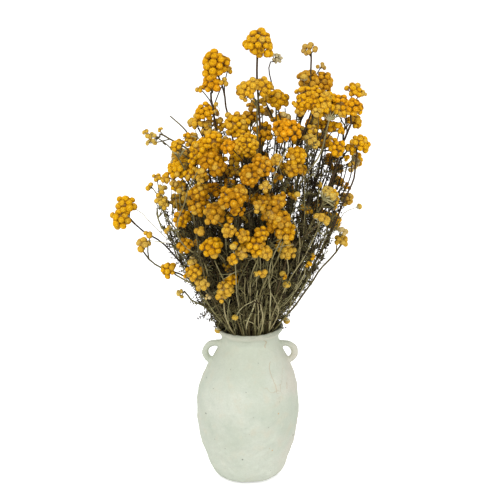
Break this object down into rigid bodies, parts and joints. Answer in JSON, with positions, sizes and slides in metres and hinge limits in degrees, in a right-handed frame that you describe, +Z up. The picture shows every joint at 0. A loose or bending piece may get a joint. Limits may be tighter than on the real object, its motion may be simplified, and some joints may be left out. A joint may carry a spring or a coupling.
{
  "type": "vase of dried lonas",
  "caption": "Small two-handled stoneware vase filled with a loose bouquet of dried yellow button flowers on thin branching stems.",
  "frame": {"origin": "centre of the flat face under the vase's foot", "axes": "+Z up along the vase, +X to the right through both handles, -Y towards the viewer"},
  "size_m": [0.2491, 0.1759, 0.4454],
  "materials": {
    "ceramic": "matte",
    "dry_stem": "matte",
    "gold_florets": "matte",
    "ochre_florets": "matte",
    "straw_florets": "matte"
  },
  "bodies": {
    "root": {"vase": "ceramic", "stems_front": "dry_stem", "stems_front_right": "dry_stem", "stems_back_right": "dry_stem", "stems_back": "dry_stem", "stems_back_left": "dry_stem", "stems_front_left": "dry_stem", "heads_crown": "gold_florets", "heads_tall_left": "gold_florets", "heads_right_back": "ochre_florets", "heads_right_crown": "gold_florets", "heads_far_right": "gold_florets", "heads_upper_middle": "gold_florets", "heads_middle_right": "gold_florets", "heads_upper_left": "gold_florets", "heads_middle": "gold_florets", "heads_right_dome": "gold_florets", "heads_middle_back": "ochre_florets", "heads_middle_low": "ochre_florets", "heads_left_reach": "straw_florets", "heads_left_high": "gold_florets", "heads_left_cloud": "gold_florets", "heads_middle_front": "gold_florets", "heads_right_side": "straw_florets", "heads_right_cluster": "gold_florets", "heads_right_rim": "gold_florets", "heads_right_low": "gold_florets", "heads_centre": "gold_florets", "heads_left_shoulder": "gold_florets", "heads_left_inner": "gold_florets", "heads_left_far": "straw_florets", "heads_left_arm": "gold_florets", "heads_left_twig": "gold_florets", "heads_left_lower": "gold_florets", "heads_left_lowest": "straw_florets", "heads_left_front": "gold_florets", "heads_left_drop": "gold_florets", "heads_centre_left": "gold_florets", "heads_left_edge": "gold_florets", "heads_left_mid": "ochre_florets", "heads_left_inner_low": "gold_florets", "heads_left_skirt": "gold_florets", "heads_front_low": "gold_florets", "heads_front_left": "gold_florets", "heads_front_middle": "gold_florets", "heads_front_right": "gold_florets", "heads_right_inner_low": "gold_florets", "heads_right_lean": "straw_florets", "heads_right_front": "gold_florets", "heads_right_edge": "gold_florets", "heads_right_tail": "ochre_florets", "heads_back_1": "gold_florets", "heads_back_2": "ochre_florets", "heads_back_3": "gold_florets", "heads_back_4": "gold_florets", "heads_back_5": "ochre_florets", "heads_back_6": "gold_florets", "heads_back_7": "gold_florets", "heads_back_8": "ochre_florets", "heads_back_9": "gold_florets"}
  },
  "joints": []
}
